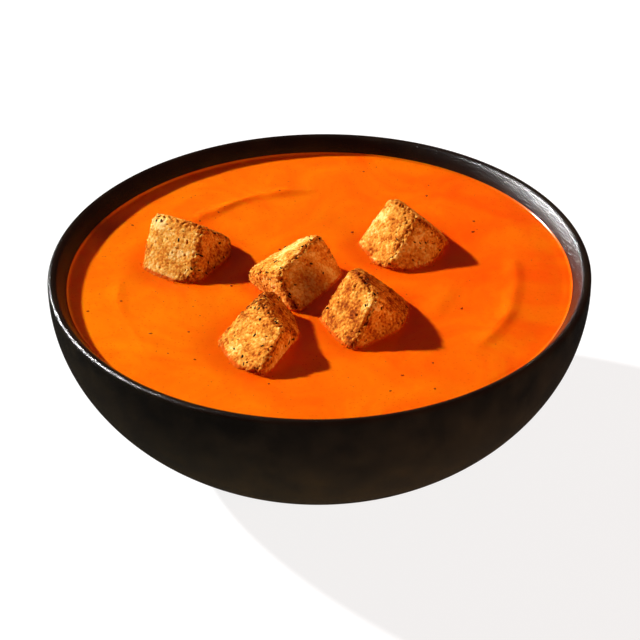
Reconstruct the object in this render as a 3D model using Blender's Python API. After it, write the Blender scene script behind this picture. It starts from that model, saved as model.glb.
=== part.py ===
"""Tomato soup with five croutons in a dark stoneware bowl.

Metres, +Z up. The origin is the centre of the flat foot that the bowl rests on.
"""

import math
from collections import namedtuple

import bmesh
import bpy
from mathutils import Euler, Matrix, Vector, noise

MM = 0.001
GAP = 0.3 * MM  # between the soup and whatever it touches
SEGMENTS = 64  # round the bowl and the soup

# Bowl: the lower half of an ellipsoid whose lip slopes in from a crisp outer edge
RIM_RADIUS = 80.0 * MM
RIM_LEVEL = 54.0 * MM  # centre of the ellipsoid, where the bowl is widest
BODY_DEPTH = 60.7 * MM  # vertical semi-axis of the outside, cut off by the foot
BODY_STEPS = 10
LIP_RADIUS = 78.8 * MM  # crest of the lip
LIP_HEIGHT = 56.8 * MM
LIP_EDGE_LEVEL = 55.4 * MM  # where the outer wall turns over into the lip
LIP_EDGE_STEPS = 3
LIP_CREST = 2.0 * MM  # radius of the crest's inner side
LIP_SLOPE = 54  # degrees down from level, inside the crest
LIP_CREST_STEPS = 4
LIP_FOOT_LEVEL = 52.4 * MM  # where the lip's slope runs into the inner wall
INSIDE_RADIUS = 74.6 * MM
INSIDE_DEPTH = 47.5 * MM  # vertical semi-axis of the inside
INSIDE_STEPS = 9
FOOT_RADIUS = 35.2 * MM
FOOT_EDGE = 1.1 * MM  # soft edge round the foot
BODY_START_RADIUS = 37.8 * MM
RECESS_RADIUS = 29.0 * MM
RECESS_DEPTH = 1.5 * MM

# Soup
SOUP_LEVEL = 52.1 * MM
MENISCUS_HEIGHT = 0.5 * MM
MENISCUS_WIDTH = 2.4 * MM
MENISCUS_SHARES = (0, 0.45, 0.75)  # of its width, where the climb has a ring of points
MENISCUS_POWER = 3  # how late the climb starts
SOUP_STEPS = 7

# Croutons: cut by hand, so no side is square to the next. A taper says how much a side
# grows towards the far end of each of the two other axes, as a share of its size.
Crouton = namedtuple("Crouton", "place size turn taper")
CROUTON_ROUND = 0.2  # edge rounding, as a share of half a side
CROUTON_BULGE = 0.1  # how far the middle of a face stands out, as a share of half a side
CROUTON_CUTS = 5
CROUTON_SPREAD = 1.6  # how far grid lines are drawn towards the edges; 1 leaves them even
CROUTON_BUMP = 0.35 * MM
CROUTON_BUMP_SIZE = 6.0 * MM
CROUTONS = {  # millimetres and degrees
    "crouton_1": Crouton(
        place=(-39.0, 12.0, 50.0),
        size=(18.0, 18.5, 23.5),
        turn=(33, -44, -142),
        taper=((-0.2, -0.05), (-0.05, 0.0), (-0.05, -0.25)),
    ),
    "crouton_2": Crouton(
        place=(-18.0, -32.5, 48.0),
        size=(18.5, 19.0, 25.5),
        turn=(-16, -51, -111),
        taper=((0.45, -0.2), (0.0, -0.15), (-0.2, -0.25)),
    ),
    "crouton_3": Crouton(
        place=(14.0, -25.5, 50.5),
        size=(17.5, 15.0, 21.5),
        turn=(31, -39, -175),
        taper=((-0.3, 0.0), (0.15, -0.1), (0.05, -0.3)),
    ),
    "crouton_4": Crouton(
        place=(-7.5, 0.0, 53.0),
        size=(22.0, 17.0, 14.5),
        turn=(19, 2, -135),
        taper=((0.1, -0.05), (0.3, -0.35), (-0.15, 0.05)),
    ),
    "crouton_5": Crouton(
        place=(27.5, 15.5, 51.0),
        size=(19.0, 15.0, 20.0),
        turn=(44, -34, 172),
        taper=((-0.4, -0.05), (-0.05, -0.2), (0.1, -0.2)),
    ),
}


def clear_scene():
    for obj in list(bpy.data.objects):
        bpy.data.objects.remove(obj)


def make_material(name, colour, roughness):
    material = bpy.data.materials.new(name)
    material.use_nodes = True
    shader = material.node_tree.nodes["Principled BSDF"]
    shader.inputs["Base Color"].default_value = (*colour, 1)
    shader.inputs["Roughness"].default_value = roughness
    return material


def add_object(name, mesh, material):
    """A named object from a bmesh, with its faces turned outwards."""
    bmesh.ops.recalc_face_normals(mesh, faces=mesh.faces)
    data = bpy.data.meshes.new(name)
    mesh.to_mesh(data)
    mesh.free()
    data.materials.append(material)
    data.shade_smooth()
    obj = bpy.data.objects.new(name, data)
    bpy.context.scene.collection.objects.link(obj)
    return obj


def arc(centre, semi, start, end, steps):
    """Points of an ellipse in (radius, height), from one angle to another in degrees."""
    points = []
    for step in range(steps + 1):
        angle = math.radians(start + (end - start) * step / steps)
        radius = centre[0] + semi[0] * math.cos(angle)
        height = centre[1] + semi[1] * math.sin(angle)
        points.append((radius, height))
    return points


def spun_solid(name, profile, material):
    """A solid of revolution from an open profile whose two ends lie on the axis."""
    mesh = bmesh.new()
    points = [mesh.verts.new((radius, 0, height)) for radius, height in profile]
    edges = [mesh.edges.new(pair) for pair in zip(points, points[1:])]
    bmesh.ops.spin(
        mesh,
        geom=points + edges,
        cent=(0, 0, 0),
        axis=(0, 0, 1),
        angle=2 * math.pi,
        steps=SEGMENTS,
        use_merge=True,
    )
    bmesh.ops.remove_doubles(mesh, verts=mesh.verts, dist=1e-6)
    return add_object(name, mesh, material)


def inner_wall(inset, top, steps):
    """The inside of the bowl, moved inwards, from a height down to the axis."""
    semi = (INSIDE_RADIUS - inset, INSIDE_DEPTH - inset)
    start = math.degrees(math.asin((top - RIM_LEVEL) / semi[1]))
    points = arc((0, RIM_LEVEL), semi, start, -90, steps)
    points[-1] = (0, points[-1][1])
    return points


def bowl(material):
    body_start = -math.degrees(math.acos(BODY_START_RADIUS / RIM_RADIUS))
    lip_edge = (RIM_RADIUS - LIP_RADIUS, LIP_HEIGHT - LIP_EDGE_LEVEL)
    lip_crest = (LIP_CREST, LIP_CREST)
    crest_centre = (LIP_RADIUS, LIP_HEIGHT - LIP_CREST)
    profile = [
        (0, RECESS_DEPTH),
        (RECESS_RADIUS - FOOT_EDGE, RECESS_DEPTH),
        (RECESS_RADIUS, RECESS_DEPTH - FOOT_EDGE / 2),
        (RECESS_RADIUS + FOOT_EDGE / 2, FOOT_EDGE / 4),
        (RECESS_RADIUS + FOOT_EDGE, 0),
        (FOOT_RADIUS, 0),
        (FOOT_RADIUS + FOOT_EDGE, FOOT_EDGE / 4),
    ]
    profile += arc((0, RIM_LEVEL), (RIM_RADIUS, BODY_DEPTH), body_start, 0, BODY_STEPS)
    profile += arc((LIP_RADIUS, LIP_EDGE_LEVEL), lip_edge, 0, 90, LIP_EDGE_STEPS)
    profile += arc(crest_centre, lip_crest, 90, 90 + LIP_SLOPE, LIP_CREST_STEPS)[1:]
    profile += inner_wall(0, LIP_FOOT_LEVEL, INSIDE_STEPS)
    return spun_solid("bowl", profile, material)


def soup(material):
    edge = SOUP_LEVEL + MENISCUS_HEIGHT
    side = inner_wall(GAP, edge, SOUP_STEPS)
    start = side[0][0] - MENISCUS_WIDTH
    profile = [(0, SOUP_LEVEL)]
    for share in MENISCUS_SHARES:
        rise = MENISCUS_HEIGHT * share**MENISCUS_POWER
        profile.append((start + MENISCUS_WIDTH * share, SOUP_LEVEL + rise))
    return spun_solid("soup", profile + side, material)


def spread(share):
    """Moves grid lines towards the edges of a cube, where the rounding needs them."""
    return math.copysign(1 - (1 - abs(share)) ** CROUTON_SPREAD, share)


def rounded(point):
    """A point of the unit cube's skin, moved onto one with rounded edges and full faces."""
    flat = 1 - CROUTON_ROUND
    core = Vector(max(-flat, min(flat, value)) for value in point)
    fullness = (3 - point.length_squared) / 2
    rounded_point = core + (point - core).normalized() * CROUTON_ROUND
    return rounded_point * (1 + CROUTON_BULGE * fullness)


def tapered(point, shape):
    """The place in a crouton, in millimetres, of a point of the unit cube."""
    place = Vector()
    for axis, (size, taper) in enumerate(zip(shape.size, shape.taper)):
        others = [value for other, value in enumerate(point) if other != axis]
        growth = sum(share * value for share, value in zip(taper, others))
        place[axis] = point[axis] * size / 2 * (1 + growth)
    return place


def crouton(name, shape, material, grow=0.0):
    """One hand-cut cube of bread, a little lumpy, in its place in the soup."""
    middle = Vector(shape.place) * MM
    mesh = bmesh.new()
    bmesh.ops.create_cube(mesh, size=2)
    bmesh.ops.subdivide_edges(mesh, edges=mesh.edges, cuts=CROUTON_CUTS, use_grid_fill=True)
    for vert in mesh.verts:
        grid = Vector(spread(value) for value in vert.co)
        vert.co = tapered(rounded(grid), shape) * MM
    mesh.normal_update()
    moves = []
    for vert in mesh.verts:
        bump = CROUTON_BUMP * noise.noise((vert.co + middle) / CROUTON_BUMP_SIZE)
        moves.append(vert.normal * (bump + grow))
    for vert, move in zip(mesh.verts, moves):
        vert.co += move
    turn = Euler([math.radians(angle) for angle in shape.turn]).to_matrix().to_4x4()
    bmesh.ops.transform(mesh, matrix=Matrix.Translation(middle) @ turn, verts=mesh.verts)
    return add_object(name, mesh, material)


def cut_pocket(body, cutter):
    """The hollow that a crouton presses into the soup."""
    cutter.hide_render = True
    cutter.display_type = "WIRE"
    modifier = body.modifiers.new(cutter.name, "BOOLEAN")
    modifier.operation = "DIFFERENCE"
    modifier.solver = "EXACT"
    modifier.object = cutter


def main():
    clear_scene()
    stoneware = make_material("dark_stoneware", (0.02, 0.018, 0.016), 0.5)
    tomato_soup = make_material("tomato_soup", (0.85, 0.16, 0.01), 0.3)
    toasted_bread = make_material("toasted_bread", (0.75, 0.42, 0.13), 0.8)
    bowl(stoneware)
    soup_body = soup(tomato_soup)
    for name, shape in CROUTONS.items():
        crouton(name, shape, toasted_bread)
        cutter = crouton(f"pocket_{name}", shape, toasted_bread, GAP)
        cut_pocket(soup_body, cutter)


main()
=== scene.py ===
"""Tomato soup with five croutons in a dark stoneware bowl, dressed for its picture.

Metres, +Z up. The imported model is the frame, and each piece fits the solid it stands for.
"""

import math
import random
from collections import namedtuple

import bmesh
import bpy
from mathutils import Euler, Matrix, Vector, noise
from mathutils.bvhtree import BVHTree


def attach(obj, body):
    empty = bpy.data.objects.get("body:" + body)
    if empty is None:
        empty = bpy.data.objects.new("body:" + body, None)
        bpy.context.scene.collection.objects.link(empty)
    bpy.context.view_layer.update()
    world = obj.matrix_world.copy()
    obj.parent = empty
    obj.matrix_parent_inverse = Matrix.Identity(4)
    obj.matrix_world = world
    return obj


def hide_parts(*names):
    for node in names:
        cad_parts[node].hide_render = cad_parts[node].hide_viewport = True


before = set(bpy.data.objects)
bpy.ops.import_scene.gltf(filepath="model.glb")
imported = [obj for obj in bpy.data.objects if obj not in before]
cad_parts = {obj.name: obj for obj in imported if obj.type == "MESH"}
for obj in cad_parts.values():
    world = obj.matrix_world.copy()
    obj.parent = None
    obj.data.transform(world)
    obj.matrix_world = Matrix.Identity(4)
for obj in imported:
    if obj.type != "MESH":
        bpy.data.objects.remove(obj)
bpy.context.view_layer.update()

MM = 0.001
TINY = 1e-6  # metres: closer than this, two places are the same

# Camera and light
CAMERA_TARGET = Vector((0, 0, 54 * MM))
CAMERA_DISTANCE = 720 * MM
CAMERA_RISE = 32.25  # degrees above the rim's middle
CAMERA_TILT = 33.37  # degrees looked down, which leaves room above the bowl
CAMERA_ROLL = -0.8
CAMERA_LENS = 136.96
Lamp = namedtuple("Lamp", "side rise spread strength colour mirrored")
LAMPS = {  # degrees round from +X and above level; mirrored is whether glossy surfaces show it
    "key_lamp": Lamp(
        side=148, rise=25.2, spread=2.5, strength=7.8, colour="#FFFFFF", mirrored=True
    ),
    "warm_fill": Lamp(
        side=-28, rise=8, spread=30, strength=2.5, colour="#FFB070", mirrored=False
    ),
    "warm_sky": Lamp(
        side=0, rise=90, spread=170, strength=0.2, colour="#FF6028", mirrored=True
    ),
}
AMBIENT_COLOUR = "#FFFFFF"
AMBIENT_STRENGTH = 0.02
FLOOR_RADIUS = 4.0
FLOOR_SEGMENTS = 96

# Bowl
BOWL_SEGMENTS = 288
BODY_STEPS = 44
WALL_STEPS = 36
FOOT_STEPS = 6
LIP_EDGE_STEPS = 14
LIP_CREST_STEPS = 16
RIM_RADIUS = 80.0 * MM  # widest, just below the lip
RIM_LEVEL = 54.0 * MM
BODY_DEPTH = 60.7 * MM  # vertical semi-axis of the outside, cut off by the foot
LIP_RADIUS = 78.8 * MM  # crest of the lip
LIP_HEIGHT = 56.8 * MM
LIP_EDGE_LEVEL = 55.4 * MM  # where the outer wall turns over into the lip
LIP_CREST = 2.0 * MM  # radius of the crest's inner side
LIP_SLOPE = 54  # degrees down from level, inside the crest
LIP_FOOT_LEVEL = 52.4 * MM  # where the lip's slope runs into the inner wall
INSIDE_RADIUS = 74.6 * MM
INSIDE_DEPTH = 47.5 * MM  # vertical semi-axis of the inside
FOOT_RADIUS = 35.2 * MM
FOOT_EDGE = 1.1 * MM
BODY_START_RADIUS = 37.8 * MM
RECESS_RADIUS = 29.0 * MM
RECESS_DEPTH = 1.5 * MM

# Soup
SOUP_SEGMENTS = 640
SOUP_RINGS = 118
SOUP_SIDE_STEPS = 14
SOUP_LEVEL = 52.1 * MM
SOUP_OVERLAP = 0.15 * MM  # how far the soup reaches into the wall
MENISCUS_HEIGHT = 0.5 * MM
MENISCUS_WIDTH = 1.4 * MM
MENISCUS_POWER = 4  # how late the climb starts
MENISCUS_RINGS = 14
DIP_DEPTH = 0.25 * MM  # where a crouton's weight draws the soup's skin down
DIP_WIDTH = 3.5 * MM
CLING_HEIGHT = 0.1 * MM  # where the soup climbs a crouton
CLING_WIDTH = 0.4 * MM
SHADE_NEAR_BREAD_WIDTH = 5.0 * MM  # round the croutons, of painted shade that darkens and reddens the soup
SWELL_HEIGHT = 0.22 * MM  # slow unevenness of a thick soup at rest
SWELL_SIZE = 14 * MM
RIPPLE_HEIGHT = 0.03 * MM
RIPPLE_SIZE = 4 * MM
Trail = namedtuple("Trail", "radius start end height width")
TRAILS = (  # ridges left by a stirring spoon, in millimetres and degrees round the bowl
    Trail(radius=51.5, start=88, end=146, height=0.7, width=2.0),
    Trail(radius=58.0, start=-46, end=14, height=0.6, width=2.2),
    Trail(radius=59.5, start=174, end=228, height=0.3, width=2.0),
    Trail(radius=38.0, start=-40, end=-2, height=0.3, width=3.0),
    Trail(radius=60.0, start=243, end=262, height=0.35, width=2.4),
)
TRAIL_END = 14  # degrees over which a ridge dies away
TRAIL_WANDER = 1.6 * MM
TRAIL_FLOW = 9 * MM  # length over which a ridge grows or fades
TRAIL_EVENNESS = 0.9  # of its height, before it grows or fades
TRAIL_UNEVENNESS = 0.6

# Croutons
Crouton = namedtuple("Crouton", "place size turn taper browning bare herbs")
CROUTON_ROUND = 0.2
CROUTON_BULGE = 0.1
CROUTON_CUTS = 110
CROUTON_SPREAD = 1.6  # how far grid lines are drawn towards the edges; 1 leaves them even
CROUTON_BUMP = 0.35 * MM
CROUTON_BUMP_SIZE = 6.0 * MM
# Browning is for the -X, +X, -Y, +Y, -Z and +Z sides, and bare is where the crust is rubbed
# off, on a cube from -1 to 1. Herbs is how many flecks stick to the bread.
CROUTONS = {  # millimetres and degrees
    "crouton_1": Crouton(
        place=(-39.0, 12.0, 50.0),
        size=(18.0, 18.5, 23.5),
        turn=(33, -44, -142),
        taper=((-0.2, -0.05), (-0.05, 0.0), (-0.05, -0.25)),
        browning=(0.6, 0.3, 0.6, 0.5, 0.5, 0.5),
        bare=(1.0, -0.6, 0.9),
        herbs=60,
    ),
    "crouton_2": Crouton(
        place=(-18.0, -32.5, 48.0),
        size=(18.5, 19.0, 25.5),
        turn=(-16, -51, -111),
        taper=((0.45, -0.2), (0.0, -0.15), (-0.2, -0.25)),
        browning=(0.6, 0.4, 0.5, 0.33, 0.6, 0.55),
        bare=(-1.0, -1.0, 1.0),
        herbs=90,
    ),
    "crouton_3": Crouton(
        place=(14.0, -25.5, 50.5),
        size=(17.5, 15.0, 21.5),
        turn=(31, -39, -175),
        taper=((-0.3, 0.0), (0.15, -0.1), (0.05, -0.3)),
        browning=(0.6, 0.6, 0.5, 0.46, 0.7, 0.58),
        bare=(1.0, 0.9, 0.75),
        herbs=26,
    ),
    "crouton_4": Crouton(
        place=(-7.5, 0.0, 53.0),
        size=(22.0, 17.0, 14.5),
        turn=(19, 2, -135),
        taper=((0.1, -0.05), (0.3, -0.35), (-0.15, 0.05)),
        browning=(0.5, 0.45, 0.5, 0.26, 0.7, 0.34),
        bare=(-0.3, -0.2, 1.0),
        herbs=70,
    ),
    "crouton_5": Crouton(
        place=(27.5, 15.5, 51.0),
        size=(19.0, 15.0, 20.0),
        turn=(44, -34, 172),
        taper=((-0.4, -0.05), (-0.05, -0.2), (0.1, -0.2)),
        browning=(0.6, 0.46, 0.5, 0.28, 0.6, 0.42),
        bare=(1.0, -0.6, 0.3),
        herbs=26,
    ),
}
BARE_WIDTH = 0.45  # of the patch without crust, as a share of half a side
BARE_PALENESS = 0.35
EDGE_BROWNING = 0.2
EDGE_SHARPNESS = 6
SIDE_SHARPNESS = 8  # how soon one side's browning gives way to the next's
CRUST_HEIGHT = 0.1 * MM
CRUST_SIZE = 2.6 * MM
GRAIN_HEIGHT = 0.28 * MM
GRAIN_SIZE = 0.85 * MM
CRUMB_HEIGHT = 0.08 * MM
CRUMB_SIZE = 0.42 * MM
SMOOTHEST = 0.4  # share of its full relief that the palest bread has
SHADE_JUMP = 7.3  # sets neighbouring grains far apart in the pattern that shades them
TIP_MIDDLE = 0.5  # how pale bread is where no grain, shade, crumb or pore changes it
# Grain tops are made paler and pores darker: partly the crumb's own colour, partly painted
# highlight and shade.
TIP_GRAIN = 0.7
TIP_SHADE = 0.7
TIP_CRUMB = 0.3
TIP_PORE = 0.8
PORE_DEPTH = 0.3 * MM
PORE_SHIFT = Vector((9, 0, 0))  # keeps the pores apart from the other patterns
PORE_SIZE = 0.8 * MM
PORE_RANGE = (0.4, 0.6)  # of a noise from -1 to 1, from the lip of a pore to its floor
EDGE_CRUMBLE = 0.75 * MM
EDGE_CRUMBLE_SIZE = 1.1 * MM
EDGE_LOSS = 0.15  # share of the crumble that is only ever lost
PATCH_BROWNING = 0.36  # of the darker and lighter parts of a side
PATCH_SIZE = 3.4 * MM

# Scattered things
CHIP_THICKNESS = 0.3  # of a speck or herb, as a share of its length
CHIP_UNEVENNESS = (0.7, 1.2)  # how far its corners stand from its middle
SPECK_MARGIN = 4 * MM  # of clear soup round the edge
SPECK_DROP = 5 * MM  # above the soup, where the search for its surface starts
SPECK_WIDTHS = (0.5, 0.9)  # shares of the length
BOLD_SPECKS = 28
BOLD_SIZES = (0.6, 1.3)  # millimetres
FAINT_SPECKS = 170
FAINT_SIZES = (0.2, 0.5)
HERB_START = 0.5 * MM  # above the soup
HERB_SIZES = (0.6, 1.5)
HERB_WIDTHS = (0.35, 0.55)
HERB_FINENESS = 1.5  # 1 makes every size as common as the next, and more favours small ones
WATERLINE = 0.4 * MM  # above and below the soup, where crumbs gather
CRUMB_DRIFT = 0.9 * MM
CRUMB_WIDTHS = (0.6, 0.9)
CRUMB_FINENESS = 2
LOOSE_CRUMBS = 60  # round each crouton
CRUMB_SIZES = (0.2, 0.55)
CRUMB_SHADE = -1  # how far round from the key lamp, from -1 all round to 1 opposite it
OIL_BEADS = 20
BEAD_SIZES = (0.25, 0.5)
BEAD_SHADE = 0.3

# Finishes: the sizes of their patterns
GLAZE_CLOUDS = 9 * MM
BOUNCE_LIGHT_LEVEL = 15 * MM  # up to where the painted warm bounce light is strongest
GLAZE_GRAIN = 0.38 * MM
GLAZE_RELIEF = 0.14 * MM
SOUP_SWIRLS = 26 * MM
PULP_SIZE = 1.4 * MM
SOUP_GRAIN = 1.3 * MM
SOUP_GRAIN_RELIEF = 0.1 * MM
BREAD_MOTTLE = 0.8 * MM
BREAD_GRAIN = 0.35 * MM
BREAD_GRAIN_RELIEF = 0.15 * MM
SOAKED_BELOW = 0.2 * MM  # above the soup, and dry from the next height up
DRY_ABOVE = 1.2 * MM
HERB_MOTTLE = 1.5 * MM
COLOUR_A = 6  # a Mix node's two colour inputs and its colour output, which share their names
COLOUR_B = 7
MIXED_COLOUR = 2


def linear(hex_code):
    """The linear colour of an sRGB hex code."""
    parts = [int(hex_code[start : start + 2], 16) / 255 for start in (1, 3, 5)]
    return [
        part / 12.92 if part <= 0.04045 else ((part + 0.055) / 1.055) ** 2.4 for part in parts
    ] + [1]


def add_node(tree, kind, links=None, stops=None, **settings):
    """Adds a node with its settings.

    Links gives each input a value or another node's output, and stops gives a ramp's places
    with their hex codes or greys.
    """
    node = tree.nodes.new(kind)
    for name, value in settings.items():
        setattr(node, name, value)
    for name, value in (links or {}).items():
        if isinstance(value, bpy.types.NodeSocket):
            tree.links.new(value, node.inputs[name])
        else:
            node.inputs[name].default_value = value
    if stops:
        ramp = node.color_ramp.elements
        while len(ramp) < len(stops):
            ramp.new(0.5)
        for element, (position, value) in zip(ramp, stops):
            element.position = position
            element.color = linear(value) if isinstance(value, str) else (value, value, value, 1)
    return node


def new_material(name):
    """A material with its node tree and its Principled shader."""
    material = bpy.data.materials.new(name)
    material.use_nodes = True
    tree = material.node_tree
    return material, tree, tree.nodes["Principled BSDF"]


def per_metre(size):
    """The scale at which a pattern's cells are this size on Object coordinates."""
    return 1 / size


# Materials

def matte_stoneware():
    """Stoneware dipped in a black satin glaze, with painted bounce light browning it near the foot.
    """
    material, tree, shader = new_material("matte_black_stoneware")
    place = add_node(tree, "ShaderNodeTexCoord").outputs["Object"]
    cloud = add_node(
        tree, "ShaderNodeTexNoise", {"Vector": place, "Scale": per_metre(GLAZE_CLOUDS), "Detail": 4}
    )
    # Painted warm bounce light: the glaze is lighter and browner towards the foot and darker
    # towards the rim, over random clouds.
    height = add_node(tree, "ShaderNodeSeparateXYZ", {0: place})
    thickness = add_node(
        tree,
        "ShaderNodeMapRange",
        {
            "Value": height.outputs["Z"],
            "From Min": BOUNCE_LIGHT_LEVEL,
            "From Max": RIM_LEVEL,
            "To Min": 0.4,
            "To Max": -0.42,
        },
    )
    cloud_and_bounce = add_node(
        tree,
        "ShaderNodeMath",
        {0: cloud.outputs["Fac"], 1: thickness.outputs["Result"]},
        operation="ADD",
    )
    tone = add_node(
        tree,
        "ShaderNodeValToRGB",
        {"Fac": cloud_and_bounce.outputs[0]},
        stops=[(0.0, "#100D09"), (0.5, "#261F13"), (1.0, "#3A2C15")],
    )
    grain = add_node(
        tree,
        "ShaderNodeTexNoise",
        {"Vector": place, "Scale": per_metre(GLAZE_GRAIN), "Detail": 2, "Roughness": 0.7},
    )
    bump = add_node(
        tree,
        "ShaderNodeBump",
        {"Height": grain.outputs["Fac"], "Strength": 1.0, "Distance": GLAZE_RELIEF},
    )
    tree.links.new(tone.outputs["Color"], shader.inputs["Base Color"])
    tree.links.new(bump.outputs["Normal"], shader.inputs["Normal"])
    shader.inputs["Roughness"].default_value = 0.2
    shader.inputs["Specular IOR Level"].default_value = 0.6
    return material


def tomato_soup():
    """Blended tomato soup: opaque, satin, fine pulp; painted shade by the bread, painted sheen at
    left.
    """
    material, tree, shader = new_material("blended_tomato_soup")
    place = add_node(tree, "ShaderNodeTexCoord").outputs["Object"]
    stirred = add_node(
        tree,
        "ShaderNodeTexNoise",
        {
            "Vector": place,
            "Scale": per_metre(SOUP_SWIRLS),
            "Detail": 7,
            "Roughness": 0.62,
            "Distortion": 1.2,
        },
    )
    # Painted sheen: the soup's colour turns yellower towards -X, the key lamp's side.
    across = add_node(tree, "ShaderNodeSeparateXYZ", {0: place})
    painted_sheen = add_node(
        tree,
        "ShaderNodeMapRange",
        {
            "Value": across.outputs["X"],
            "From Min": -INSIDE_RADIUS,
            "From Max": INSIDE_RADIUS,
            "To Min": 0.3,
            "To Max": -0.08,
        },
    )
    blended = add_node(
        tree,
        "ShaderNodeMath",
        {0: stirred.outputs["Fac"], 1: painted_sheen.outputs["Result"]},
        operation="ADD",
    )
    tone = add_node(
        tree,
        "ShaderNodeValToRGB",
        {"Fac": blended.outputs[0]},
        stops=[(0.3, "#F25402"), (1.0, "#F48604")],
    )
    # Painted shade: the soup turns darker and redder near the croutons, in patches.
    painted_shade_near_bread = add_node(tree, "ShaderNodeAttribute", attribute_name="painted_shade_near_bread")
    patchy_shade = add_node(
        tree,
        "ShaderNodeMath",
        {0: painted_shade_near_bread.outputs["Fac"], 1: stirred.outputs["Fac"]},
        operation="MULTIPLY",
    )
    shaded_tone = add_node(
        tree,
        "ShaderNodeMix",
        {
            "Factor": patchy_shade.outputs[0],
            COLOUR_A: tone.outputs["Color"],
            COLOUR_B: linear("#D83800"),
        },
        data_type="RGBA",
    )
    pulp = add_node(
        tree, "ShaderNodeTexVoronoi", {"Vector": place, "Scale": per_metre(PULP_SIZE)}
    )
    fleck = add_node(
        tree,
        "ShaderNodeValToRGB",
        {"Fac": pulp.outputs["Distance"]},
        stops=[(0.0, 0.8), (0.24, 0.0)],
    )
    colour = add_node(
        tree,
        "ShaderNodeMix",
        {
            "Factor": fleck.outputs["Color"],
            COLOUR_A: shaded_tone.outputs[MIXED_COLOUR],
            COLOUR_B: linear("#D94400"),
        },
        data_type="RGBA",
    )
    grain = add_node(
        tree, "ShaderNodeTexNoise", {"Vector": place, "Scale": per_metre(SOUP_GRAIN), "Detail": 2}
    )
    bump = add_node(
        tree,
        "ShaderNodeBump",
        {"Height": grain.outputs["Fac"], "Strength": 0.5, "Distance": SOUP_GRAIN_RELIEF},
    )
    tree.links.new(colour.outputs[MIXED_COLOUR], shader.inputs["Base Color"])
    tree.links.new(bump.outputs["Normal"], shader.inputs["Normal"])
    shader.inputs["Roughness"].default_value = 0.15
    shader.inputs["Specular IOR Level"].default_value = 0.3
    shader.inputs["Subsurface Weight"].default_value = 0.6
    shader.inputs["Subsurface Radius"].default_value = (1.0, 0.2, 0.05)
    shader.inputs["Subsurface Scale"].default_value = 1.8 * MM
    return material


def fried_bread():
    """White bread fried in oil, soaked red at the soup: crust, pale grains and brown hollows,
    partly painted light.
    """
    material, tree, shader = new_material("fried_bread")
    place = add_node(tree, "ShaderNodeTexCoord").outputs["Object"]
    browning = add_node(tree, "ShaderNodeAttribute", attribute_name="browning")
    grain_tone_and_shade = add_node(tree, "ShaderNodeAttribute", attribute_name="grain_tone_and_shade")
    mottle = add_node(
        tree, "ShaderNodeTexNoise", {"Vector": place, "Scale": per_metre(BREAD_MOTTLE), "Detail": 4}
    )
    uneven = add_node(
        tree,
        "ShaderNodeMath",
        {0: mottle.outputs["Fac"], 1: 1.1, 2: browning.outputs["Fac"]},
        operation="MULTIPLY_ADD",
    )
    # paler on grain tops and darker in pores: partly painted highlight and shade
    grained = add_node(
        tree,
        "ShaderNodeMath",
        {0: grain_tone_and_shade.outputs["Fac"], 1: -0.4, 2: uneven.outputs[0]},
        operation="MULTIPLY_ADD",
    )
    centred = add_node(
        tree, "ShaderNodeMath", {0: grained.outputs[0], 1: 0.37}, operation="SUBTRACT"
    )
    toast = add_node(
        tree,
        "ShaderNodeValToRGB",
        {"Fac": centred.outputs[0]},
        stops=[
            (0.0, "#F6CC7C"),
            (0.25, "#E4A040"),
            (0.5, "#CE7A24"),
            (0.75, "#A24A10"),
            (1.0, "#682608"),
        ],
    )
    height = add_node(tree, "ShaderNodeSeparateXYZ", {0: place})
    waterline = add_node(
        tree,
        "ShaderNodeMapRange",
        {
            "Value": height.outputs["Z"],
            "From Min": SOUP_LEVEL + SOAKED_BELOW,
            "From Max": SOUP_LEVEL + DRY_ABOVE,
            "To Min": 1.0,
            "To Max": -0.6,
        },
    )
    soaked = add_node(
        tree,
        "ShaderNodeMath",
        {0: mottle.outputs["Fac"], 1: 1.2, 2: waterline.outputs["Result"]},
        operation="MULTIPLY_ADD",
    )
    wet = add_node(
        tree,
        "ShaderNodeMapRange",
        {"Value": soaked.outputs[0], "From Min": 0.9, "From Max": 1.6},
    )
    colour = add_node(
        tree,
        "ShaderNodeMix",
        {
            "Factor": wet.outputs["Result"],
            COLOUR_A: toast.outputs["Color"],
            COLOUR_B: linear("#C8500A"),
        },
        data_type="RGBA",
    )
    crumb = add_node(
        tree, "ShaderNodeTexNoise", {"Vector": place, "Scale": per_metre(BREAD_GRAIN), "Detail": 3}
    )
    bump = add_node(
        tree,
        "ShaderNodeBump",
        {"Height": crumb.outputs["Fac"], "Strength": 0.8, "Distance": BREAD_GRAIN_RELIEF},
    )
    oil = add_node(
        tree,
        "ShaderNodeValToRGB",
        {"Fac": crumb.outputs["Fac"]},
        stops=[(0.35, 0.55), (0.55, 0.85)],
    )
    tree.links.new(colour.outputs[MIXED_COLOUR], shader.inputs["Base Color"])
    tree.links.new(oil.outputs["Color"], shader.inputs["Roughness"])
    tree.links.new(bump.outputs["Normal"], shader.inputs["Normal"])
    shader.inputs["Specular IOR Level"].default_value = 0.01
    shader.inputs["Subsurface Weight"].default_value = 0.15
    shader.inputs["Subsurface Radius"].default_value = (1.0, 0.4, 0.1)
    shader.inputs["Subsurface Scale"].default_value = 0.7 * MM
    return material


def dried_herbs(name, dark, light):
    """Ground pepper or dried leaf: matte, with its dark and light parts unevenly mixed."""
    material, tree, shader = new_material(name)
    place = add_node(tree, "ShaderNodeTexCoord").outputs["Object"]
    mottle = add_node(
        tree, "ShaderNodeTexNoise", {"Vector": place, "Scale": per_metre(HERB_MOTTLE), "Detail": 2}
    )
    tone = add_node(
        tree,
        "ShaderNodeValToRGB",
        {"Fac": mottle.outputs["Fac"]},
        stops=[(0.35, dark), (0.65, light)],
    )
    tree.links.new(tone.outputs["Color"], shader.inputs["Base Color"])
    shader.inputs["Roughness"].default_value = 0.6
    shader.inputs["Specular IOR Level"].default_value = 0.05
    return material


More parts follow.
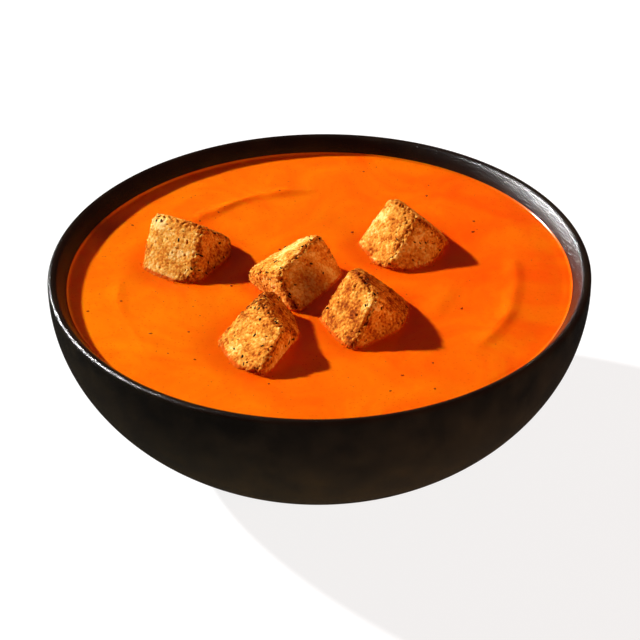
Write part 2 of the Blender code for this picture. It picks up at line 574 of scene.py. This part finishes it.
def frying_oil():
    """Beads of the oil the bread was fried in, tinted by the soup."""
    material, _, shader = new_material("frying_oil")
    shader.inputs["Base Color"].default_value = linear("#F08A28")
    shader.inputs["Roughness"].default_value = 0.08
    shader.inputs["Specular IOR Level"].default_value = 0.8
    return material


def pale_floor():
    """Plain white studio paper, bright enough that shadows on it stay light."""
    material, _, shader = new_material("studio_paper")
    shader.inputs["Base Color"].default_value = linear("#808080")
    shader.inputs["Roughness"].default_value = 0.9
    shader.inputs["Emission Color"].default_value = linear("#FFFFFF")
    shader.inputs["Emission Strength"].default_value = 0.85
    return material


# Meshes

def add_piece(name, mesh, material, node=None):
    """A named piece from a bmesh, carried by the root body."""
    bmesh.ops.recalc_face_normals(mesh, faces=mesh.faces)
    data = bpy.data.meshes.new(name)
    mesh.to_mesh(data)
    mesh.free()
    data.materials.append(material)
    data.shade_smooth()
    piece = bpy.data.objects.new(name, data)
    bpy.context.scene.collection.objects.link(piece)
    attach(piece, "root")
    if node:
        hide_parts(node)
    return piece


def search_tree(piece):
    """A tree that finds the nearest point, or the first one along a ray, on a piece."""
    points = [vert.co for vert in piece.data.vertices]
    return BVHTree.FromPolygons(points, [face.vertices for face in piece.data.polygons])


def direction(side, rise):
    """The unit vector towards a place given by its degrees round from +X and above level."""
    side, rise = math.radians(side), math.radians(rise)
    level = math.cos(rise)
    return Vector((math.cos(side) * level, math.sin(side) * level, math.sin(rise)))


def smooth_step(value, low, high):
    """0 up to low and 1 from high, with an even rise between them."""
    share = max(0.0, min(1.0, (value - low) / (high - low)))
    return share * share * (3 - 2 * share)


def arc(centre, semi, start, end, steps):
    """Points of an ellipse in (radius, height), from one angle to another in degrees."""
    points = []
    for step in range(steps + 1):
        angle = math.radians(start + (end - start) * step / steps)
        radius = centre[0] + semi[0] * math.cos(angle)
        height = centre[1] + semi[1] * math.sin(angle)
        points.append((radius, height))
    return points


def spun(profile, segments):
    """A closed mesh turned from an open profile whose two ends lie on the axis."""
    mesh = bmesh.new()
    points = [mesh.verts.new((radius, 0, height)) for radius, height in profile]
    edges = [mesh.edges.new(pair) for pair in zip(points, points[1:])]
    bmesh.ops.spin(
        mesh,
        geom=points + edges,
        cent=(0, 0, 0),
        axis=(0, 0, 1),
        angle=2 * math.pi,
        steps=segments,
        use_merge=True,
    )
    bmesh.ops.remove_doubles(mesh, verts=mesh.verts, dist=TINY)
    return mesh


def inner_wall(inset, top, steps):
    """The inside of the bowl, moved inwards, from a height down to the axis."""
    semi = (INSIDE_RADIUS - inset, INSIDE_DEPTH - inset)
    start = math.degrees(math.asin((top - RIM_LEVEL) / semi[1]))
    points = arc((0, RIM_LEVEL), semi, start, -90, steps)
    points[-1] = (0, points[-1][1])
    return points


def bowl(material):
    """The bowl, from the recess under its foot up the outside, over the lip and down inside."""
    body_start = -math.degrees(math.acos(BODY_START_RADIUS / RIM_RADIUS))
    lip_edge = (RIM_RADIUS - LIP_RADIUS, LIP_HEIGHT - LIP_EDGE_LEVEL)
    lip_crest = (LIP_CREST, LIP_CREST)
    crest_centre = (LIP_RADIUS, LIP_HEIGHT - LIP_CREST)
    profile = [(0, RECESS_DEPTH), (RECESS_RADIUS - FOOT_EDGE, RECESS_DEPTH)]
    recess_edge = (FOOT_EDGE, RECESS_DEPTH)
    profile += arc((RECESS_RADIUS - FOOT_EDGE, 0), recess_edge, 90, 0, FOOT_STEPS)[1:-1]
    profile += [(RECESS_RADIUS + FOOT_EDGE / 2, 0), (FOOT_RADIUS, 0)]
    profile += [(FOOT_RADIUS + FOOT_EDGE, FOOT_EDGE / 4)]
    profile += arc((0, RIM_LEVEL), (RIM_RADIUS, BODY_DEPTH), body_start, 0, BODY_STEPS)
    profile += arc((LIP_RADIUS, LIP_EDGE_LEVEL), lip_edge, 0, 90, LIP_EDGE_STEPS)
    profile += arc(crest_centre, lip_crest, 90, 90 + LIP_SLOPE, LIP_CREST_STEPS)[1:]
    profile += inner_wall(0, LIP_FOOT_LEVEL, WALL_STEPS)
    return add_piece("stoneware_bowl", spun(profile, BOWL_SEGMENTS), material, "bowl")


def spread(share):
    """Moves grid lines towards the edges of a cube, where the rounding needs them."""
    return math.copysign(1 - (1 - abs(share)) ** CROUTON_SPREAD, share)


def rounded(point):
    """A point of the unit cube's skin, moved onto one with rounded edges and full faces."""
    flat = 1 - CROUTON_ROUND
    core = Vector(max(-flat, min(flat, value)) for value in point)
    fullness = (3 - point.length_squared) / 2
    rounded_point = core + (point - core).normalized() * CROUTON_ROUND
    return rounded_point * (1 + CROUTON_BULGE * fullness)


def tapered(point, shape):
    """The place in a crouton, in millimetres, of a point of the unit cube."""
    place = Vector()
    for axis, (size, taper) in enumerate(zip(shape.size, shape.taper)):
        others = [value for other, value in enumerate(point) if other != axis]
        growth = sum(share * value for share, value in zip(taper, others))
        place[axis] = point[axis] * size / 2 * (1 + growth)
    return place


def edge_nearness(point):
    """0 in the middle of a cube's side, 1 on its edges."""
    return sorted(abs(value) for value in point)[1] ** EDGE_SHARPNESS


def side_browning(point, browning):
    """How brown the sides round a point of the unit cube are, each by its nearness."""
    total = weight = 0.0
    for axis, value in enumerate(point):
        share = abs(value) ** SIDE_SHARPNESS
        total += share * browning[2 * axis + (value > 0)]
        weight += share
    return total / weight


def bread_relief(place, edge, rough):
    """How far the bread stands out at a place, and a partly painted shade from 0 in hollows to 1 on
    grains.
    """
    crust = CRUST_HEIGHT * noise.noise(place / CRUST_SIZE)
    distances, centres = noise.voronoi(place / GRAIN_SIZE)
    grain = 0.5 - distances[0]
    shade = noise.noise(centres[0] * SHADE_JUMP)
    crumb = noise.noise(place / CRUMB_SIZE)
    pore = smooth_step(noise.noise(place / PORE_SIZE + PORE_SHIFT), *PORE_RANGE)
    crumble = EDGE_CRUMBLE * edge * (noise.noise(place / EDGE_CRUMBLE_SIZE) - EDGE_LOSS)
    fine = rough * (GRAIN_HEIGHT * grain + CRUMB_HEIGHT * crumb)
    # paler grain tops and darker pores: partly the crumb's own colour, partly painted highlight and
    # shade
    tone_and_shade = TIP_MIDDLE + TIP_GRAIN * grain + TIP_SHADE * shade + TIP_CRUMB * crumb - TIP_PORE * pore
    return crust + fine - PORE_DEPTH * pore + crumble, max(0.0, min(1.0, tone_and_shade))


def crouton(name, shape, material):
    """One hand-cut cube of bread in its place in the soup, with its crumb and crust."""
    middle = Vector(shape.place) * MM
    mesh = bmesh.new()
    bmesh.ops.create_cube(mesh, size=2)
    bmesh.ops.subdivide_edges(mesh, edges=mesh.edges, cuts=CROUTON_CUTS, use_grid_fill=True)
    browning = mesh.verts.layers.float.new("browning")
    grain_tone_and_shade = mesh.verts.layers.float.new("grain_tone_and_shade")
    nearness = {}
    for vert in mesh.verts:
        grid = Vector(spread(value) for value in vert.co)
        nearness[vert] = edge_nearness(grid)
        vert[browning] = side_browning(grid, shape.browning) + EDGE_BROWNING * nearness[vert]
        away = (grid - Vector(shape.bare)).length / BARE_WIDTH
        vert[browning] -= BARE_PALENESS * math.exp(-away * away)
        vert.co = tapered(rounded(grid), shape) * MM
    mesh.normal_update()
    moves = []
    for vert in mesh.verts:
        place = vert.co + middle
        bump = CROUTON_BUMP * noise.noise(place / CROUTON_BUMP_SIZE)
        relief, vert[grain_tone_and_shade] = bread_relief(place, nearness[vert], SMOOTHEST + vert[browning])
        vert[browning] += PATCH_BROWNING * noise.noise(place / PATCH_SIZE)
        moves.append(vert.normal * (bump + relief))
    for vert, move in zip(mesh.verts, moves):
        vert.co += move
    turn = Euler([math.radians(angle) for angle in shape.turn]).to_matrix().to_4x4()
    bmesh.ops.transform(mesh, matrix=Matrix.Translation(middle) @ turn, verts=mesh.verts)
    mesh.normal_update()
    return add_piece(f"bread_{name}", mesh, material, name)


def trail_height(trail, radius, angle):
    """The height of one spoon trail at a place given by its radius and angle in degrees."""
    middle = (trail.start + trail.end) / 2
    away = abs((angle - middle + 180) % 360 - 180)
    reach = (trail.end - trail.start) / 2
    strength = 1 - smooth_step(away, reach - TRAIL_END, reach)
    if strength == 0:
        return 0.0
    along = math.radians(angle) * radius / TRAIL_FLOW
    crest = trail.radius * MM + TRAIL_WANDER * noise.noise((along / 2, trail.radius, 0))
    strength *= TRAIL_EVENNESS + TRAIL_UNEVENNESS * noise.noise((along, 0, trail.radius))
    across = (radius - crest) / (trail.width * MM)
    return trail.height * MM * strength * math.exp(-across * across)


def crouton_distance(place, croutons):
    """How far the nearest crouton's skin is from a place in the soup."""
    distances = []
    for tree in croutons:
        _, _, _, distance = tree.find_nearest(place)
        distances.append(distance)
    return min(distances)


def soup_relief(place, away):
    """How far the soup's surface stands above its level, this far away from the croutons."""
    radius = math.hypot(place.x, place.y)
    angle = math.degrees(math.atan2(place.y, place.x))
    height = sum(trail_height(trail, radius, angle) for trail in TRAILS)
    height += SWELL_HEIGHT * noise.noise(place / SWELL_SIZE)
    height += RIPPLE_HEIGHT * noise.noise(place / RIPPLE_SIZE)
    calm = INSIDE_RADIUS - 2 * MENISCUS_WIDTH
    height *= 1 - smooth_step(radius, calm, calm + MENISCUS_WIDTH)
    height -= DIP_DEPTH * math.exp(-((away / DIP_WIDTH) ** 2))
    return height + CLING_HEIGHT * math.exp(-((away / CLING_WIDTH) ** 2))


def soup(material, croutons):
    """The soup, a little into the bowl's wall and right through under the croutons."""
    edge = SOUP_LEVEL + MENISCUS_HEIGHT
    side = inner_wall(-SOUP_OVERLAP, edge, SOUP_SIDE_STEPS)
    start = side[0][0] - SOUP_OVERLAP - MENISCUS_WIDTH
    profile = [(start * ring / SOUP_RINGS, SOUP_LEVEL) for ring in range(SOUP_RINGS)]
    for ring in range(MENISCUS_RINGS + 1):
        share = ring / MENISCUS_RINGS
        rise = MENISCUS_HEIGHT * share**MENISCUS_POWER
        profile.append((start + MENISCUS_WIDTH * share, SOUP_LEVEL + rise))
    mesh = spun(profile + side, SOUP_SEGMENTS)
    painted_shade_near_bread = mesh.verts.layers.float.new("painted_shade_near_bread")
    for vert in mesh.verts:
        if vert.co.z < SOUP_LEVEL - TINY:
            continue
        away = crouton_distance(vert.co, croutons)
        # painted shade near the croutons, for the soup's colour
        vert[painted_shade_near_bread] = math.exp(-((away / SHADE_NEAR_BREAD_WIDTH) ** 2))
        vert.co.z += soup_relief(vert.co, away)
    return add_piece("tomato_soup", mesh, material, "soup")


def add_chip(mesh, place, normal, size, chooser):
    """One irregular flake lying on a surface, with its length, width and thickness."""
    tilt = normal.to_track_quat("Z", "Y").to_matrix().to_4x4()
    spin = Matrix.Rotation(chooser.uniform(0, 2 * math.pi), 4, "Z")
    scale = Matrix.Diagonal((*size, 1))
    made = bmesh.ops.create_icosphere(
        mesh, subdivisions=1, radius=0.5, matrix=Matrix.Translation(place) @ tilt @ spin @ scale
    )
    for vert in made["verts"]:
        vert.co = place + (vert.co - place) * chooser.uniform(*CHIP_UNEVENNESS)


def soup_specks(name, count, sizes, material, surface):
    """Ground pepper and bits of herb afloat in the soup."""
    chooser = random.Random(name)
    mesh = bmesh.new()
    for _ in range(count):
        radius = (INSIDE_RADIUS - SPECK_MARGIN) * math.sqrt(chooser.random())
        angle = chooser.uniform(0, 2 * math.pi)
        start = SOUP_LEVEL + SPECK_DROP
        above = Vector((radius * math.cos(angle), radius * math.sin(angle), start))
        place, normal, _, _ = surface.ray_cast(above, Vector((0, 0, -1)))
        length = chooser.uniform(*sizes) * MM
        size = (length, length * chooser.uniform(*SPECK_WIDTHS), CHIP_THICKNESS * length)
        add_chip(mesh, place, normal, size, chooser)
    return add_piece(name, mesh, material)


def herb_flecks(material, breads):
    """Black pepper and dried basil stuck to the bread."""
    chooser = random.Random(5)
    mesh = bmesh.new()
    for bread, shape in zip(breads, CROUTONS.values()):
        dry = [vert for vert in bread.data.vertices if vert.co.z > SOUP_LEVEL + HERB_START]
        for vert in chooser.sample(dry, shape.herbs):
            low, high = HERB_SIZES
            length = (low + (high - low) * chooser.random() ** HERB_FINENESS) * MM
            size = (length, length * chooser.uniform(*HERB_WIDTHS), CHIP_THICKNESS * length)
            add_chip(mesh, vert.co, vert.normal, size, chooser)
    return add_piece("herb_flecks", mesh, material)


def waterline_bits(name, count, sizes, shade, material, breads):
    """Crumbs or beads of oil caught where the croutons meet the soup."""
    key_lamp = direction(LAMPS["key_lamp"].side, 0)
    chooser = random.Random(name)
    mesh = bmesh.new()
    for bread in breads:
        wet = [
            vert
            for vert in bread.data.vertices
            if abs(vert.co.z - SOUP_LEVEL) < WATERLINE and -vert.normal.dot(key_lamp) >= shade
        ]
        for vert in chooser.sample(wet, count):
            low, high = sizes
            length = (low + (high - low) * chooser.random() ** CRUMB_FINENESS) * MM
            place = vert.co + vert.normal * chooser.uniform(0, CRUMB_DRIFT)
            place.z = SOUP_LEVEL + chooser.uniform(-WATERLINE, WATERLINE) / 2
            width, height = (length * chooser.uniform(*CRUMB_WIDTHS) for _ in range(2))
            add_chip(mesh, place, vert.normal, (length, width, height), chooser)
    return add_piece(name, mesh, material)


# Stage

def add_floor(material):
    """A wide floor that glossy surfaces don't show, so that it leaves the glaze dark."""
    mesh = bmesh.new()
    bmesh.ops.create_circle(mesh, cap_ends=True, radius=FLOOR_RADIUS, segments=FLOOR_SEGMENTS)
    data = bpy.data.meshes.new("studio_floor")
    mesh.to_mesh(data)
    mesh.free()
    data.materials.append(material)
    floor = bpy.data.objects.new("studio_floor", data)
    bpy.context.scene.collection.objects.link(floor)
    floor.visible_glossy = False


def add_camera():
    data = bpy.data.cameras.new("camera")
    data.lens = CAMERA_LENS
    camera = bpy.data.objects.new("camera", data)
    place = CAMERA_TARGET + direction(-90, CAMERA_RISE) * CAMERA_DISTANCE
    tilt = Matrix.Rotation(math.radians(90 - CAMERA_TILT), 4, "X")
    roll = Matrix.Rotation(math.radians(CAMERA_ROLL), 4, "Z")
    camera.matrix_world = Matrix.Translation(place) @ tilt @ roll
    bpy.context.scene.collection.objects.link(camera)
    bpy.context.scene.camera = camera


def add_lights():
    for name, lamp in LAMPS.items():
        data = bpy.data.lights.new(name, "SUN")
        data.energy = lamp.strength
        data.angle = math.radians(lamp.spread)
        data.color = linear(lamp.colour)[:3]
        light = bpy.data.objects.new(name, data)
        light.rotation_mode = "QUATERNION"
        light.rotation_quaternion = direction(lamp.side, lamp.rise).to_track_quat("Z", "Y")
        light.visible_glossy = lamp.mirrored
        bpy.context.scene.collection.objects.link(light)
    world = bpy.data.worlds.new("studio")
    world.use_nodes = True
    background = world.node_tree.nodes["Background"]
    background.inputs["Color"].default_value = linear(AMBIENT_COLOUR)
    background.inputs["Strength"].default_value = AMBIENT_STRENGTH
    bpy.context.scene.world = world


def main():
    stoneware = matte_stoneware()
    bread = fried_bread()
    bowl(stoneware)
    breads = [crouton(name, shape, bread) for name, shape in CROUTONS.items()]
    liquid = soup(tomato_soup(), [search_tree(piece) for piece in breads])
    surface = search_tree(liquid)
    pepper = dried_herbs("ground_pepper", "#5A0800", "#901802")
    soup_specks("bold_specks", BOLD_SPECKS, BOLD_SIZES, pepper, surface)
    soup_specks("faint_specks", FAINT_SPECKS, FAINT_SIZES, pepper, surface)
    herb_flecks(dried_herbs("dried_herbs", "#100A05", "#30200C"), breads)
    waterline_bits("loose_crumbs", LOOSE_CRUMBS, CRUMB_SIZES, CRUMB_SHADE, bread, breads)
    waterline_bits("oil_beads", OIL_BEADS, BEAD_SIZES, BEAD_SHADE, frying_oil(), breads)
    add_floor(pale_floor())
    add_lights()
    add_camera()
    bpy.context.scene.view_settings.view_transform = "Standard"


main()
